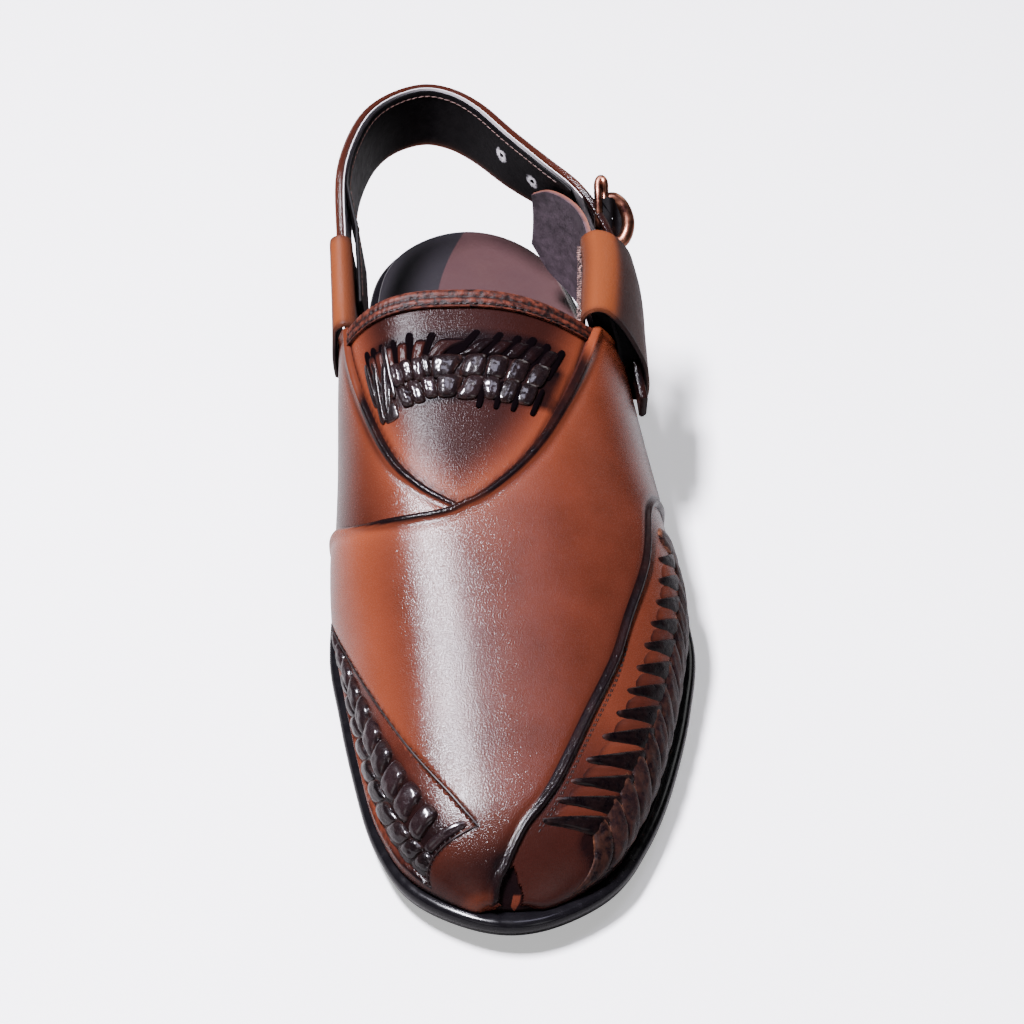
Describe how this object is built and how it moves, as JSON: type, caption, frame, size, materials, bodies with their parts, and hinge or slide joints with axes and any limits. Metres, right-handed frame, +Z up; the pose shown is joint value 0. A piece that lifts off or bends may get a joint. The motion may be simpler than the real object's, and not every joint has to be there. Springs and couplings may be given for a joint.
{
  "type": "sandal",
  "caption": "Left peshawari chappal: closed-toe leather sandal with crossing vamp bands, woven panels at toe and throat, buckled heel strap and a black moulded rubber sole.",
  "frame": {"origin": "on the floor, under the middle of the sole's length and width", "axes": "+X towards the outer (lateral) side of this left shoe, -Y towards the toe, +Y towards the heel, +Z up"},
  "size_m": [0.1088, 0.29, 0.0921],
  "materials": {
    "sole_rubber": "polished black moulded rubber",
    "insole_sock": "smooth mauve-brown sock with a black stripe along the inner side",
    "upper_leather": "polished red-brown leather, burnished dark towards its edges",
    "weave_leather": "glossy black-brown woven strips",
    "binding_leather": "dark red-brown binding with two stitch rows",
    "tan_leather": "satin tan leather, burnished dark at the edges",
    "lining_leather": "matte black lining",
    "buckle_metal": "antique copper-coloured plate"
  },
  "bodies": {
    "root": {"outsole": "sole_rubber", "insole": "insole_sock", "upper": "upper_leather", "throat_weave": "weave_leather", "medial_weave": "weave_leather", "lateral_weave": "weave_leather", "collar_binding": "binding_leather", "medial_sleeve": "tan_leather", "lateral_sleeve": "tan_leather", "lateral_flap": "lining_leather", "heel_strap": "upper_leather", "strap_lining": "lining_leather", "buckle_frame": "buckle_metal", "buckle_prong": "buckle_metal"}
  },
  "joints": []
}
